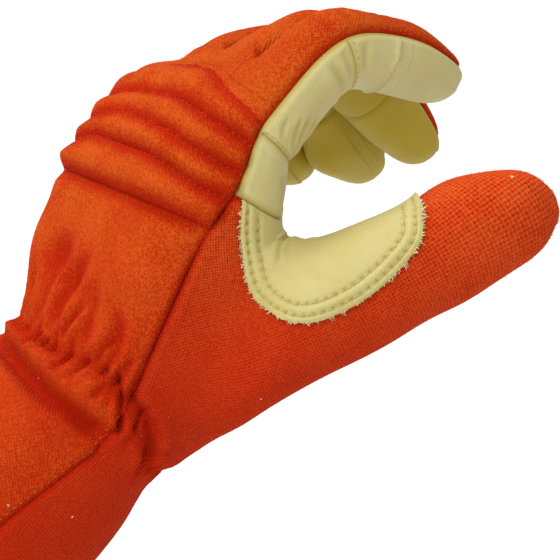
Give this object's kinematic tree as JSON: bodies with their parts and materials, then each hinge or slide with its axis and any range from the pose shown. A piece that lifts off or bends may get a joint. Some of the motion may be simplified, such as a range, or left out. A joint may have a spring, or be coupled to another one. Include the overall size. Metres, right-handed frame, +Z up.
{
  "type": "firefighting glove",
  "caption": "Left-hand rescue glove curled in a C grip: orange knit back with a ribbed knuckle pad, pale leather palm and fingers, sewn thumb patch, elastic wrist and flared open cuff.",
  "frame": {"origin": "centre of the gathered wrist, where the elastic runs", "axes": "+Z up; +X to the right of the side that shows the thumb; +Y away from that side, towards the little finger. The hand rises towards +X and +Z, the fingers curl towards +X, the cuff opens towards -X and -Z"},
  "size_m": [0.2328, 0.1321, 0.2073],
  "materials": {
    "knit_back": "fine orange knit, matte with a soft nap",
    "knit_side": "coarser red-orange knit with small square cells, matte",
    "leather_yellow": "pale yellow grain leather, soft satin"
  },
  "bodies": {
    "root": {"back_panel": "knit_back", "knuckle_pad": "knit_back", "finger_backs": "knit_back", "cuff_hem": "knit_back", "thumb_shell": "knit_side", "cuff_front": "knit_side", "palm_leather": "leather_yellow", "thumb_front": "leather_yellow", "thumb_patch": "leather_yellow", "index_base": "leather_yellow", "index_middle": "leather_yellow", "index_tip": "leather_yellow", "middle_base": "leather_yellow", "middle_middle": "leather_yellow", "middle_tip": "leather_yellow", "ring_base": "leather_yellow", "ring_middle": "leather_yellow", "ring_tip": "leather_yellow", "little_base": "leather_yellow", "little_middle": "leather_yellow", "little_tip": "leather_yellow"}
  },
  "joints": []
}
